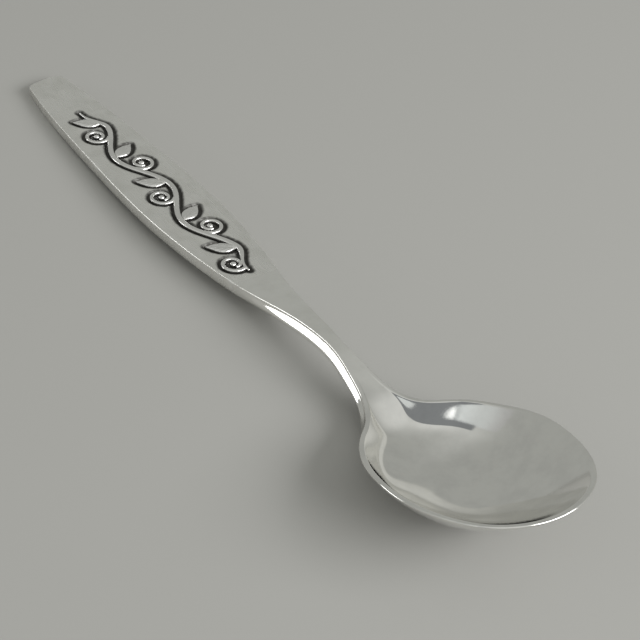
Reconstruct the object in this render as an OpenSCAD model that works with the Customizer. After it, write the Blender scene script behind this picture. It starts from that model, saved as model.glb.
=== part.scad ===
// Baby spoon with a flat blade handle, a rounded neck and an oval bowl.
// A winding vine with leaves, tendrils and berries stands in a sunk ground on the blade.
// X runs from the handle's end to the bowl's tip, Z is up and the spoon rests on Z = 0.

/* [Handle blade] */
// Length of the flat blade, from its end to where the neck begins
blade_l = 72; // [66:0.5:95]
// Widest part of the blade
blade_w = 13.2; // [12.4:0.1:17]
// Width of the blade at its cut end
end_w = 6.9; // [5:0.1:10]
// Thickness of the blade where the neck begins
blade_t = 2.2; // [1.6:0.05:3]
// Height of the blade's face above the table where the neck begins
blade_h = 4.25; // [3.6:0.05:5]
// Thickness of the blade at its end, which rests on the table
end_t = 1.7; // [1.5:0.05:2.5]
// How far the end bulges out between its corners
end_bow = 0.4; // [0.1:0.05:1.5]
// How far the cut end leans: its far corner stands out and its near corner lies back by this
end_lean = 0.6; // [0:0.05:1]
// Radius of the two corners at the end
end_r = 0.8; // [0.3:0.05:2]
// Length of the flat under the end
rest_l = 10; // [5:0.5:14]

/* [Neck] */
// Length of the rounded neck, from the blade to the flare of the bowl
neck_l = 28; // [22:0.5:40]
// Narrowest width of the neck's flat top face
neck_w = 2.5; // [1.8:0.1:4]
// Thickness of the neck, top to bottom
neck_t = 2.3; // [2:0.05:3.5]
// How far the rounded sides of the neck stand out past its top face
neck_bulge = 0.95; // [0.5:0.05:1.6]
// Height of the neck's crest above the table
crest_h = 6.15; // [5.5:0.05:8]

/* [Bowl] */
// Length of the bowl with its flared shoulders
bowl_l = 44.5; // [36:0.5:55]
// Widest part of the bowl
bowl_w = 29.6; // [26:0.1:36]
// Depth of the bowl under its rim
bowl_depth = 7.6; // [5:0.1:9]
// Wall of the bowl
wall = 1.05; // [0.8:0.05:1.5]
// Width of the flat on top of the rim
rim_band = 0.7; // [0.4:0.05:1]
// Height of the crisp upright edge round the neck's face and the rim
rim_edge = 0.5; // [0.3:0.05:0.8]
// Height of the rim where it leaves the neck
dip_h = 4.55; // [4:0.05:6]
// Height of the rim at the bowl's tip
tip_h = 13.35; // [10:0.05:16]

/* [Ornament] */
// Distance from the handle's end to the start of the vine
vine_start = 14; // [10:0.5:15]
// Bare blade between the vine's other end and the neck
vine_gap = 2; // [1.5:0.5:4]
// How far the vine swings to each side of the middle
vine_swing_w = 2.1; // [1.6:0.1:2.4]
// Width of the vine's stem
stem_w = 1; // [0.5:0.05:1.2]
// Length of a leaf
leaf_l = 5; // [3:0.1:5.4]
// Width of a leaf
leaf_w = 2.6; // [1.4:0.1:2.8]
// Width of a tendril
tendril_w = 0.7; // [0.4:0.05:0.7]
// Radius of a tendril's scroll, at its open end
curl_r = 2.2; // [2.15:0.05:2.4]
// Radius of a berry
berry_r = 0.5; // [0.3:0.05:0.5]
// Depth of the sunk ground under the blade's face
ground_depth = 0.4; // [0.2:0.05:0.6]
// Width of the dark ground that shows around each relief piece
ground_gap = 0.6; // [0.3:0.05:0.8]
// How far the relief stands proud of the blade's face
relief_proud = 0.2; // [0.05:0.05:0.4]
// Clear space between neighbouring relief pieces
relief_gap = 0.12; // [0.05:0.01:0.3]

/* [Hidden] */

silver = [0.80, 0.80, 0.78];
neck_x = blade_l;
bowl_x = blade_l + neck_l;
total_l = bowl_x + bowl_l;
overrun = blade_w;
vine_l = blade_l - vine_start - vine_gap;

// Outlines are tables of [place, size] shares, and each table says what it is a share of
// Shares of blade_l and of blade_w / 2
blade_plan_shares = [[0.167, 0.745], [0.417, 0.923], [0.667, 1], [0.903, 0.794]];
// Shares of neck_l and of neck_w / 2
neck_plan_shares = [[0.286, 2.08], [0.643, 1.115], [0.857, 0.99]];
// Shares of bowl_l and of bowl_w / 2
bowl_plan_shares = [[0.022, 0.126], [0.09, 0.169], [0.157, 0.257], [0.225, 0.415], [0.292, 0.622], [0.382, 0.815],
                    [0.472, 0.933], [0.607, 1], [0.742, 0.943], [0.854, 0.797], [0.944, 0.54], [1, 0.08]];
// Shares of neck_l and of crest_h
neck_height_shares = [[0.464, 0.952], [0.821, 1.015]];
// Shares of neck_l and of neck_t
neck_thick_shares = [[0.286, 1], [0.643, 1], [0.893, 0.96]];
// Shares of bowl_l and of bowl_depth, for the hollow under the rim
bowl_depth_shares = [[0, 0], [0.067, 0.008], [0.112, 0.035], [0.157, 0.15], [0.202, 0.35], [0.247, 0.51],
                     [0.315, 0.67], [0.404, 0.838], [0.494, 0.96], [0.607, 1], [0.719, 0.925], [0.831, 0.665],
                     [0.921, 0.32], [0.984, 0]];
// Shares of bowl_l and of the way from neck_t to wall
bowl_wall_shares = [[0.067, 0.25], [0.135, 0.62], [0.202, 0.84], [0.292, 0.96], [0.404, 1], [0.831, 1]];
// Metal at the tip, as a share of rim_edge
tip_metal_share = 1.3;
// Place of the rim's lowest point, and of the point under the bowl that rests on the table
dip_share = 0.112;
rest_share = 0.38;
// Shares of bowl_l and of the way from dip_h to tip_h, for the rim before and after that point
rim_in_shares = [[0.202, 0], [0.292, 0.16]];
rim_out_shares = [[0.539, 0.534], [0.674, 0.675], [0.831, 0.843]];

// Slope of the smooth curve through the points p at its point i
function slope_at(p, i) =
    let (a = p[max(i - 1, 0)], b = p[min(i + 1, len(p) - 1)]) (b.y - a.y)/(b.x - a.x);
// Index of the stretch of p that holds x
function stretch_at(p, x, i = 0) =
    i >= len(p) - 2 || x <= p[i + 1].x ? i : stretch_at(p, x, i + 1);
// Height at x of the smooth curve that passes through every point of p
function curve_at(p, x) =
    let (i = stretch_at(p, x), a = p[i], b = p[i + 1], h = b.x - a.x, t = (x - a.x)/h)
    a.y*(1 + 2*t)*(1 - t)^2 + slope_at(p, i)*h*t*(1 - t)^2
    + b.y*t^2*(3 - 2*t) + slope_at(p, i + 1)*h*t^2*(t - 1);
// Rise from 0 to 1 with level ends
function ease(t) = let (c = min(max(t, 0), 1)) c*c*(3 - 2*c);
// Real points from a table of shares
function scaled(shares, x0, length, size) = [for (s = shares) [x0 + s.x*length, s.y*size]];

// Half width of the top face, through squares, so that the bowl's nose is round
plan_line = concat([[0, end_w/2]], scaled(blade_plan_shares, 0, blade_l, blade_w/2),
    scaled(neck_plan_shares, neck_x, neck_l, neck_w/2), scaled(bowl_plan_shares, bowl_x, bowl_l, bowl_w/2));
plan_squares = [for (p = plan_line) [p.x, p.y^2]];
function half_width(x) = sqrt(max(curve_at(plan_squares, x), 0));

// Hollow under the rim along the middle, and the metal under it
depth_line = scaled(bowl_depth_shares, bowl_x, bowl_l, bowl_depth);
function depth(x) = x <= bowl_x ? 0 : max(curve_at(depth_line, min(x, depth_line[len(depth_line) - 1].x)), 0);
metal_line = concat([[blade_l, blade_t]], scaled(neck_thick_shares, neck_x, neck_l, neck_t),
    [for (s = bowl_wall_shares) [bowl_x + s.x*bowl_l, neck_t + s.y*(wall - neck_t)]],
    [[total_l, tip_metal_share*rim_edge]]);

// Height of the top face and of the rim, which makes the bowl rest on the table
rest_x = bowl_x + rest_share*bowl_l;
rest_h = depth(rest_x) + curve_at(metal_line, rest_x);
function rim_line(shares) = [for (s = shares) [bowl_x + s.x*bowl_l, dip_h + s.y*(tip_h - dip_h)]];
top_line = concat([[0, end_t], [blade_l, blade_h]], scaled(neck_height_shares, neck_x, neck_l, crest_h),
    [[bowl_x + dip_share*bowl_l, dip_h]], rim_line(rim_in_shares), [[rest_x, rest_h]], rim_line(rim_out_shares),
    [[total_l, tip_h]]);
function top_z(x) = x <= blade_l ? end_t + (blade_h - end_t)*x/blade_l : curve_at(top_line, x);
function under_z(x) = top_z(x) - depth(x) - curve_at(metal_line, x);

// Sections along the spoon
side_steps = 7;
dish_steps = 8;
neck_steps = 18;
bowl_steps = 36;
blade_steps = 40;
// Rings crowd towards the tip as the sine of an angle that ends here
tip_turn = 78;
// Power of the dish across the bowl
dish_power = 2.2;
// Near the neck the dish is a trough: the slope of its walls, and how far its floor rises to their feet
wall_slope = 1.6;
floor_rise = 0.55;
// How wide the curve is that joins the trough's walls to its floor, as a share of the depth
foot_round = 0.12;
// Where the trough begins to turn into the bowl, and how far that takes, as shares of bowl_l
trough_shares = [0.4, 0.35];
// Most of the half width that the rim may take, near the tip
rim_share = 0.4;
// Share of neck_l in which the neck's sides reach their full roundness
round_share = 0.5;
// Where the neck's sides begin to turn into the bowl's, and how far that takes, as shares of bowl_l
flare_shares = [0.18, 0.2];
// Handles of the side curve, as shares of the bulge, of the side's height and of the half width
neck_side_shares = [0.8, 0.45, 0.1, 1.5, 0.3];
bowl_side_shares = [0.72, 0.62, 0.4, 0.03];
// Width that the blade loses in its lower corners
under_round = 0.3;

// Handles of the curve from the top edge round to the flat underneath, at x
function side_handles(x) =
    let (w = half_width(x), q = ease((x - neck_x)/(neck_l*round_share)), bulge = neck_bulge*q,
         b = ease(((x - bowl_x)/bowl_l - flare_shares[0])/flare_shares[1]), n = neck_side_shares, m = bowl_side_shares,
         t = top_z(x) - under_z(x), side = t - rim_edge,
         neck = [[w, -rim_edge], [w + n[0]*bulge, -rim_edge - (n[1] - n[2]*q)*side], [w + n[3]*bulge, -t],
                 [(w - under_round)*(1 - q) + n[4]*w*q, -t]],
         bowl = [[w, -rim_edge], [m[0]*w, -rim_edge - m[1]*side], [m[2]*w, -t], [m[3]*w, -t]])
    neck*(1 - b) + bowl*b;
function bezier(h, t) = h[0]*(1 - t)^3 + 3*h[1]*t*(1 - t)^2 + 3*h[2]*t^2*(1 - t) + h[3]*t^3;
function side_curve(x) = let (h = side_handles(x)) [for (i = [0:side_steps]) bezier(h, i/side_steps)];
// Depth of the dish at x and at the share v of its inner half width
function dish_depth(x, v) =
    let (w = half_width(x), inner = w - min(rim_band, rim_share*w), d = depth(x), step = 0.1,
         slant = (half_width(x + step) - half_width(x - step))/(2*step),
         bowl = d*(1 - abs(v)^dish_power), floor = d*(1 - floor_rise*v^2),
         side = wall_slope*inner*(1 - abs(v))/sqrt(1 + slant^2),
         trough = (side + floor - norm([side - floor, foot_round*d]))/2,
         share = 1 - ease(((x - bowl_x)/bowl_l - trough_shares[0])/trough_shares[1]))
    bowl + (trough - bowl)*share;
// Points of the dish from its near to its far edge
function dish_curve(x) =
    let (w = half_width(x), inner = w - min(rim_band, rim_share*w))
    concat([[-w, 0]],
        [for (i = [-dish_steps:dish_steps]) let (v = sin(90*i/dish_steps)) [inner*v, -dish_depth(x, v)]],
        [[w, 0]]);
function mirrored(p) = [for (i = [len(p) - 1:-1:0]) [-p[i].x, p[i].y]];
// Closed ring round the spoon at x, from underneath up the near side and over to the far side
function ring(x, top) =
    let (z = top_z(x), s = side_curve(x)) [for (p = concat(mirrored(s), top, s)) [x, p.x, z + p.y]];

module loft(rings) {
    n = len(rings[0]);
    last = (len(rings) - 1)*n;
    sides = [for (i = [0:len(rings) - 2], j = [0:n - 1])
        let (a = i*n + j, b = i*n + (j + 1)%n) each [[a, b, b + n], [a, b + n, a + n]]];
    caps = [[for (j = [n - 1:-1:0]) j], [for (j = [0:n - 1]) last + j]];
    polyhedron(points = [for (r = rings) each r], faces = concat(sides, caps));
}

// Blade outline seen from above, with its bowed end and rounded corners
function end_curve() =
    let (xc = end_bow + end_r, yc = half_width(xc) - end_r, n = 6)
    concat([for (i = [0:n]) [end_bow*(i/n)^2, yc*i/n]],
        [for (i = [1:n]) [xc - end_r*cos(90*i/n), yc + end_r*sin(90*i/n)]]);
function blade_edge() =
    let (x0 = end_bow + end_r, n = blade_steps)
    concat(end_curve(), [for (i = [1:n]) let (x = x0 + (blade_l - x0)*i/n) [x, half_width(x)]]);
// The lean of the cut end fades out over the flat under it
function leaned(p) = [p.x - end_lean*p.y/(end_w/2)*(1 - ease(p.x/rest_l)), p.y];
module blade_plan() {
    edge = blade_edge();
    outline = concat(edge, [for (i = [len(edge) - 1:-1:1]) [edge[i].x, -edge[i].y]]);
    polygon([for (p = outline) leaned(p)]);
}

// Side view of the blade, flat under its end where it rests
module blade_side() {
    face_slope = (blade_h - end_t)/blade_l;
    rotate([90, 0, 0]) translate([0, 0, -overrun]) linear_extrude(2*overrun)
        polygon([[-overrun, 0], [rest_l, 0], [blade_l, blade_h - blade_t], [blade_l, blade_h],
                 [-overrun, end_t - face_slope*overrun]]);
}
// Frame of the blade's slanting face
module on_face(z) {
    translate([0, 0, end_t]) rotate([0, -atan((blade_h - end_t)/blade_l), 0]) translate([0, 0, z]) children();
}

// Vine: half waves, each with a leaf, and with a tendril that winds round a berry, in its bay
bay_count = 5;
bay_l = vine_l/bay_count;
stem_steps = 60;
function bay_x(k) = vine_start + (k - 0.5)*bay_l;
function bay_side(k) = k%2 == 1 ? 1 : -1;
// The swing fades in at both ends of the vine
fade_share = 0.12;
tip_share = 0.35;
function vine_y(x) =
    let (u = (x - vine_start)/vine_l)
    vine_swing_w*ease(min(u, 1 - u)/fade_share)*sin(180*(x - vine_start)/bay_l);
function stem_edge(side) = [for (i = [0:stem_steps])
    let (u = i/stem_steps, x = vine_start + vine_l*u, dx = vine_l/stem_steps,
         dy = vine_y(x + dx/2) - vine_y(x - dx/2), a = atan2(dy, dx),
         r = stem_w/2*(tip_share + (1 - tip_share)*ease(min(u, 1 - u)/fade_share)))
    [x - side*r*sin(a), vine_y(x) + side*r*cos(a)]];
module stem_shape() {
    far = stem_edge(1);
    near = stem_edge(-1);
    polygon(concat(far, [for (i = [len(near) - 1:-1:0]) near[i]]));
}
// All that lies on one side of the stem
module beyond_stem(side) {
    edge = stem_edge(side);
    polygon(concat(edge, [[edge[stem_steps].x, side*blade_w], [edge[0].x, side*blade_w]]));
}

// Places inside a bay, as shares of bay_l and of vine_swing_w
leaf_base_shares = [-0.06, 0.72];
curl_centre_shares = [0.26, -0.62];
// Direction that a leaf points in
leaf_turn = 238;
curl_turn = 420;
leaf_steps = 10;
leaf_power = 0.8;
curl_steps = 24;
curl_start = 60;
// Part of its radius that the curl loses as it winds in
curl_share = 0.56;
function in_bay(k, shares) = [bay_x(k) + shares.x*bay_l, bay_side(k)*shares.y*vine_swing_w];
module placed(k, shares) {
    translate(in_bay(k, shares)) scale([1, bay_side(k)]) children();
}
// Pointed oval, with its base at the origin
module leaf_shape() {
    edge = [for (i = [0:leaf_steps]) let (u = i/leaf_steps) [leaf_l*u, leaf_w/2*sin(180*u^leaf_power)]];
    polygon(concat(edge, [for (i = [leaf_steps - 1:-1:1]) [edge[i].x, -edge[i].y]]));
}
// Scroll that winds in from its open end towards the berry at its heart
module curl_shape() {
    turn = [for (i = [0:curl_steps]) let (u = i/curl_steps)
        [curl_r*(1 - curl_share*u), curl_start - curl_turn*u]];
    outer = [for (t = turn) (t[0] + tendril_w/2)*[cos(t[1]), sin(t[1])]];
    inner = [for (t = turn) (t[0] - tendril_w/2)*[cos(t[1]), sin(t[1])]];
    polygon(concat(outer, [for (i = [curl_steps:-1:0]) inner[i]]));
}
module leaf_at(k) {
    placed(k, leaf_base_shares) rotate(leaf_turn) leaf_shape();
}
module curl_at(k) {
    placed(k, curl_centre_shares) curl_shape();
}
module berry_at(k) {
    placed(k, curl_centre_shares) circle(r = berry_r, $fn = 16);
}

// The ground that is sunk round all the relief
module ground_shape() {
    offset(r = ground_gap, $fn = 16) {
        stem_shape();
        for (k = [1:bay_count]) {
            leaf_at(k);
            curl_at(k);
            berry_at(k);
        }
    }
}
// A relief piece stands on the ground and rises past the blade's face
module relief() {
    on_face(-ground_depth) linear_extrude(ground_depth + relief_proud) children();
}
module centred() {
    translate([-total_l/2, 0, 0]) children();
}

module handle() color(silver) centred() difference() {
    intersection() {
        linear_extrude(crest_h) blade_plan();
        blade_side();
    }
    on_face(-ground_depth) linear_extrude(crest_h) ground_shape();
}
module neck() color(silver) centred() {
    loft([for (i = [0:neck_steps]) let (x = neck_x + neck_l*i/neck_steps, w = half_width(x))
        ring(x, [[-w, 0], [w, 0]])]);
}
module bowl() color(silver) centred() {
    loft([for (i = [0:bowl_steps])
        let (x = bowl_x + bowl_l*sin(tip_turn*i/bowl_steps)/sin(tip_turn)) ring(x, dish_curve(x))]);
}
module vine_stem() color(silver) centred() relief() stem_shape();
module leaf(k) color(silver) centred() relief() difference() {
    leaf_at(k);
    offset(delta = relief_gap) stem_shape();
}
module tendril(k) color(silver) centred() relief() difference() {
    curl_at(k);
    beyond_stem(bay_side(k));
    offset(delta = relief_gap) {
        stem_shape();
        leaf_at(k);
    }
}
module berry(k) color(silver) centred() relief() berry_at(k);

handle();
neck();
bowl();
vine_stem();
leaf(1);  // leaf_1
leaf(2);  // leaf_2
leaf(3);  // leaf_3
leaf(4);  // leaf_4
leaf(5);  // leaf_5
tendril(1);  // tendril_1
tendril(2);  // tendril_2
tendril(3);  // tendril_3
tendril(4);  // tendril_4
tendril(5);  // tendril_5
berry(1);  // berry_1
berry(2);  // berry_2
berry(3);  // berry_3
berry(4);  // berry_4
berry(5);  // berry_5
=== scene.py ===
import math

import bpy
import numpy as np
from mathutils import Matrix, Vector


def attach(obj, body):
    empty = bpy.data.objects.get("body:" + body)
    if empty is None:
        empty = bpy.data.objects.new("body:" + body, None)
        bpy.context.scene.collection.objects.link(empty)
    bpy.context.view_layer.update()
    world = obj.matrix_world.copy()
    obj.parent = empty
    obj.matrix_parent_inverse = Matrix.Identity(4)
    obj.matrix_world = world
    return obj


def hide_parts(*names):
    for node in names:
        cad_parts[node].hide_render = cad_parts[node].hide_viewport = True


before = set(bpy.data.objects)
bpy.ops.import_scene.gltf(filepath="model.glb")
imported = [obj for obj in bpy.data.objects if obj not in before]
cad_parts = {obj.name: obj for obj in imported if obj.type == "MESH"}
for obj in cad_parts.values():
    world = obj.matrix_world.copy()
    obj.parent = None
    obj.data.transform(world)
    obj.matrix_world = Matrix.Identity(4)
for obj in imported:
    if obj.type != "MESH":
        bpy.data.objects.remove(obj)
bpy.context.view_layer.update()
print("frame loaded:", len(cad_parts), "nodes")

# The spoon lies along X, from the handle's end to the bowl's tip, Z is up and the floor is Z = 0.
# The form, the vine, the meshes, the camera's place, and the depths and places in the finishes are in
# millimetres, and mm turns them into metres. The studio, its lamps and its cards are in metres.
mm = 0.001
curveSamples = {"rim": 1600, "underside": 400}    # points on the curves that are read off by interpolation

form = {
    "bladeLength": 72.0, "neckLength": 28.0, "bowlLength": 44.5,
    "endWidth": 6.9, "bladeWidth": 13.2, "neckWidth": 2.5, "bowlWidth": 29.6,
    "endThickness": 1.7, "bladeThickness": 2.2, "bladeHeight": 4.25,
    "neckThickness": 2.3, "neckBulge": 0.95, "crestHeight": 6.15,
    "bowlDepth": 7.6, "wall": 1.05, "dipHeight": 4.55, "tipHeight": 13.35,
    "restLength": 10.0, "endBow": 0.4, "endLean": 0.6, "endRadius": 0.8,
    "rimBand": 0.7, "edgeHeight": 0.5,
    # places along each part and sizes, as shares of that part's length and size
    "bladePlan": [(0.167, 0.745), (0.417, 0.923), (0.667, 1.0), (0.903, 0.794)],
    "neckPlan": [(0.286, 2.08), (0.643, 1.115), (0.857, 0.99)],
    "bowlPlan": [(0.022, 0.126), (0.09, 0.169), (0.157, 0.257), (0.225, 0.415), (0.292, 0.622),
                 (0.382, 0.815), (0.472, 0.933), (0.607, 1.0), (0.742, 0.943), (0.854, 0.797),
                 (0.944, 0.54), (1.0, 0.0)],
    "neckHeights": [(0.464, 0.952), (0.821, 1.015)],
    "rimHeights": [(0.202, 0.0), (0.292, 0.16), (0.539, 0.534), (0.674, 0.675), (0.831, 0.843)],
    "neckThicknesses": [(0.286, 1.0), (0.643, 1.0), (0.893, 0.96)],
    "bowlDepths": [(0.0, 0.0), (0.067, 0.008), (0.112, 0.035), (0.157, 0.15), (0.202, 0.35),
                   (0.247, 0.51), (0.315, 0.67), (0.404, 0.838), (0.494, 0.96), (0.607, 1.0),
                   (0.719, 0.925), (0.831, 0.665), (0.921, 0.32)],
    "bowlWalls": [(0.067, 0.25), (0.135, 0.62), (0.202, 0.84), (0.292, 0.96), (0.404, 1.0), (0.831, 1.0)],
    "dipShare": 0.112, "restShare": 0.38, "widestShare": 0.607,
    "restLift": 0.066,              # how far the bowl's lowest point is raised to stand on the floor
    "restBend": 0.03,               # how softly the flat rest turns into the underside
    "dishPower": 2.2, "wallSlope": 1.6, "floorRise": 0.55, "footRound": 0.12,
    "troughShares": (0.4, 0.35),    # where the trough begins to fade into the round dish, and over how much
    "tipShares": (0.75, 0.2),       # the same for the dish's power, which turns to 2 at the tip
    "creaseRound": 0.14,            # how softly the rim's flat turns down into the dish
    "creaseShare": 0.1, "bandShare": 0.4, "noseRadius": 12.0,
    "rimFade": 2.0, "dishFade": 3.0,    # lengths over which the rim and the dish fade in before the bowl
    "shoulderLength": 4.0, "roundShare": 0.5, "flareShares": (0.18, 0.2), "cornerRound": 0.3,
    "neckSides": (0.8, 0.45, 0.1, 1.5, 0.3), "bowlSides": (0.72, 0.62, 0.4, 0.03),
    "endPowers": (0.9, 8.0, 2.2),   # spacing along the cut end, and how fast it turns round its corner
    "fineBand": 1.0,                # width of the band beside the outline that has the finer columns
    "sideSpacing": 1.15,            # how much the side's columns close up towards its top
}


# Natural cubic curve through points, with set slopes at its ends where they are given.
# It solves the usual three-term equations for the slopes and returns a function of x that
# gives the height, or the slope where slope is true.
def smoothCurve(points, startSlope=None, endSlope=None):
    px, py = np.array(points, float).T
    gap, rise = np.diff(px), np.diff(py)
    count = len(px)
    system, right = np.zeros((count, count)), np.zeros(count)
    for i in range(1, count - 1):
        system[i, i - 1:i + 2] = 1 / gap[i - 1], 2 / gap[i - 1] + 2 / gap[i], 1 / gap[i]
        right[i] = 3 * (rise[i - 1] / gap[i - 1] ** 2 + rise[i] / gap[i] ** 2)
    system[0, 0], system[0, 1], right[0] = 2, 1, 3 * rise[0] / gap[0]
    system[-1, -1], system[-1, -2], right[-1] = 2, 1, 3 * rise[-1] / gap[-1]
    if startSlope is not None:
        system[0, :2], right[0] = (1, 0), startSlope
    if endSlope is not None:
        system[-1, -2:], right[-1] = (0, 1), endSlope
    slopes = np.linalg.solve(system, right)

    # between two points the usual four cubic weights mix their heights and slopes
    def value(x, slope=False):
        x = np.asarray(x, float)
        i = np.clip(np.searchsorted(px, x) - 1, 0, count - 2)
        h, t = gap[i], (x - px[i]) / gap[i]
        a, b, m, n = py[i], py[i + 1], slopes[i] * gap[i], slopes[i + 1] * gap[i]
        if slope:
            return ((6 * t * t - 6 * t) * (a - b) + (3 * t * t - 4 * t + 1) * m
                    + (3 * t * t - 2 * t) * n) / h
        return (2 * t ** 3 - 3 * t * t + 1) * a + (t ** 3 - 2 * t * t + t) * m \
            + (3 * t * t - 2 * t ** 3) * b + (t ** 3 - t * t) * n
    return value


# Rise from 0 to 1 with level ends: three t squared less two t cubed.
def ease(t):
    t = np.clip(t, 0, 1)
    return t * t * (3 - 2 * t)


# The larger of a and 0, with a rounded corner of the given size.
def softPositive(a, size):
    return 0.5 * (a + np.sqrt(a * a + size * size))


# Turns shares into places and sizes: start plus the first times the length, and the second times the size.
def scaled(shares, start, length, size):
    return [(start + place * length, share * size) for place, share in shares]


neckStart = form["bladeLength"]
bowlStart = neckStart + form["neckLength"]
spoonLength = bowlStart + form["bowlLength"]
bowlLength, edgeHeight, rimBand = form["bowlLength"], form["edgeHeight"], form["rimBand"]
widestX = bowlStart + form["widestShare"] * bowlLength

# Outline from above: the square of the half width is a smooth curve, so that the nose is round.
planPoints = [(0, form["endWidth"] / 2)] + scaled(form["bladePlan"], 0, neckStart, form["bladeWidth"] / 2) \
    + scaled(form["neckPlan"], neckStart, form["neckLength"], form["neckWidth"] / 2) \
    + scaled(form["bowlPlan"], bowlStart, bowlLength, form["bowlWidth"] / 2)
planSquare = smoothCurve([(x, w * w) for x, w in planPoints])


# Half the width at x: the root of the curve above.
def halfWidth(x):
    return np.sqrt(np.maximum(planSquare(np.minimum(x, spoonLength)), 0))


# Inner edge of the rim: the outline moved inwards by the rim's width, square to itself.
def insetSquare():
    fade = form["rimFade"]
    turn = np.linspace(0, math.pi / 2, curveSamples["rim"])
    x = np.concatenate([np.linspace(bowlStart - fade, widestX, len(turn))[:-1],
                        widestX + (spoonLength - widestX) * np.sin(turn)])
    w, half = halfWidth(x), planSquare(x, slope=True) / 2
    norm = np.sqrt(half ** 2 + w ** 2) + 1e-9
    band = np.minimum(rimBand, form["bandShare"] * w) * ease((x - bowlStart + fade) / fade)
    band = np.where(x > widestX, rimBand, band)
    innerX, innerY = x + band * half / norm, w - band * w / norm
    order = np.argsort(innerX)
    return innerX[order], innerY[order] ** 2


insideX, insideSquare = insetSquare()
tipInside = spoonLength - rimBand


# Square of the half width inside the rim: read off the line above, and beyond the tip it falls below zero
# as fast as a round nose of the given radius makes it.
def insideWidthSquare(x):
    beyond = np.maximum(x - tipInside, 0) * 2 * form["noseRadius"]
    return np.interp(x, insideX, insideSquare, right=0) - beyond


# How deep the dish is for each square millimetre inside the rim, which stays smooth at the nose.
ratePoints = [(x, depth / insideWidthSquare(x))
              for x, depth in scaled(form["bowlDepths"], bowlStart, bowlLength, form["bowlDepth"])]
ratePoints.append((tipInside, 2 * ratePoints[-1][1] - ratePoints[-2][1]))
dishRate = smoothCurve(ratePoints, startSlope=0)


# Depth of the hollow below the rim: the rate times the square inside the rim, made fuller by a power of the
# share of the half width. Near the neck it is a trough, whose walls have one slope, square to the outline,
# and stand on a gently rising floor. The two fade into each other along the bowl.
def dishDepth(x, y):
    square = insideWidthSquare(x)
    inside = square - y * y
    rate = np.where(x > bowlStart, dishRate(np.clip(x, bowlStart, tipInside)), 0)
    share = np.clip(inside / np.maximum(square, 1e-6), 1e-4, 1)
    across = np.sqrt(1 - share)
    place = (x - bowlStart) / bowlLength
    tipStart, tipFade = form["tipShares"]
    power = form["dishPower"] + (2 - form["dishPower"]) * ease((place - tipStart) / tipFade)
    bowl = rate * inside * (1 - across ** power) / share
    w, half = halfWidth(x), planSquare(np.minimum(x, spoonLength), slope=True) / 2
    wall = form["wallSlope"] * (np.sqrt(np.maximum(square, 0)) - np.abs(y)) * w \
        / np.sqrt(w ** 2 + half ** 2 + 1e-9)
    middle = rate * square
    floor = middle * (1 - form["floorRise"] * across ** 2)
    over = softPositive(wall - floor, form["footRound"] * middle + 1e-9)
    troughEnd, troughFade = form["troughShares"]
    blend = 1 - ease((place - troughEnd) / troughFade)
    soft = form["creaseRound"] * ease(place / form["creaseShare"])
    return softPositive(bowl + (wall - over - bowl) * blend, soft + 1e-9)


# Metal under the dish along the middle, and the height of the top face and the rim.
faceSlope = (form["bladeHeight"] - form["endThickness"]) / form["bladeLength"]
metalPoints = [(neckStart, form["bladeThickness"])] \
    + scaled(form["neckThicknesses"], neckStart, form["neckLength"], form["neckThickness"]) \
    + [(bowlStart + place * bowlLength,
        form["neckThickness"] + share * (form["wall"] - form["neckThickness"]))
       for place, share in form["bowlWalls"]] + [(spoonLength, edgeHeight)]
metalLine = smoothCurve(metalPoints, startSlope=0.0)
restX = bowlStart + form["restShare"] * bowlLength
restHeight = float(dishDepth(restX, 0.0) + metalLine(restX)) + form["restLift"]
rimPoints = [(bowlStart + place * bowlLength,
              form["dipHeight"] + share * (form["tipHeight"] - form["dipHeight"]))
             for place, share in form["rimHeights"]]
heightPoints = [(neckStart, form["bladeHeight"])] \
    + scaled(form["neckHeights"], neckStart, form["neckLength"], form["crestHeight"]) \
    + [(bowlStart + form["dipShare"] * bowlLength, form["dipHeight"])] \
    + sorted(rimPoints + [(restX, restHeight)]) + [(spoonLength, form["tipHeight"])]
heightLine = smoothCurve(heightPoints, startSlope=faceSlope)


# Height of the top face and the rim: it rises evenly along the blade and then follows the smooth line.
def topHeight(x):
    beyond = heightLine(np.clip(x, neckStart, spoonLength))
    return np.where(x <= neckStart, form["endThickness"] + faceSlope * x, beyond)


# Thickness along the middle: a flat rest, then a straight underside, then the neck and the bowl's wall.
def thickness(x):
    underSlope = (form["bladeHeight"] - form["bladeThickness"]) / (neckStart - form["restLength"])
    under = softPositive((x - form["restLength"]) * underSlope, form["restBend"])
    beyond = metalLine(np.clip(x, neckStart, spoonLength)) + dishDepth(np.maximum(x, neckStart), 0 * x)
    return np.where(x <= neckStart, form["endThickness"] + faceSlope * x - under, beyond)


# Outline from the middle of the cut end round its far corner: a bow that goes with the square of the way
# across, and two powers that turn it round the corner.
def endStations(count):
    spacing, bowPower, cornerPower = form["endPowers"]
    halfEnd = float(halfWidth(form["endBow"] + form["endRadius"]))
    across = np.sin(np.linspace(0, math.pi / 2, count)) ** spacing
    corner = 1 - (1 - across ** bowPower) ** (1 / cornerPower)
    return form["endBow"] * across ** 2 + form["endRadius"] * corner, halfEnd * across


# The cut end leans: its far corner stands out and its near one lies back, which fades out along the blade.
def leaned(skin, side):
    lean = form["endLean"] * skin[..., 1] / halfWidth(0.0) * (1 - ease(skin[..., 0] / form["restLength"]))
    skin[..., 0] -= side * lean
    return skin


# Stations at the given places along the outline: each place, its inward direction and the way to the
# middle. Up to the widest place the direction is straight across, and beyond it square to the outline.
def stations(places):
    w, half = halfWidth(places), planSquare(places, slope=True) / 2
    norm = np.sqrt(half ** 2 + w ** 2) + 1e-12
    nose = places > widestX
    direction = np.stack([np.where(nose, half / norm, 0), np.where(nose, -w / norm, -1)], -1)
    reach = np.where(nose, norm, w)
    return np.stack([places, w], -1), direction, reach


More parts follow.
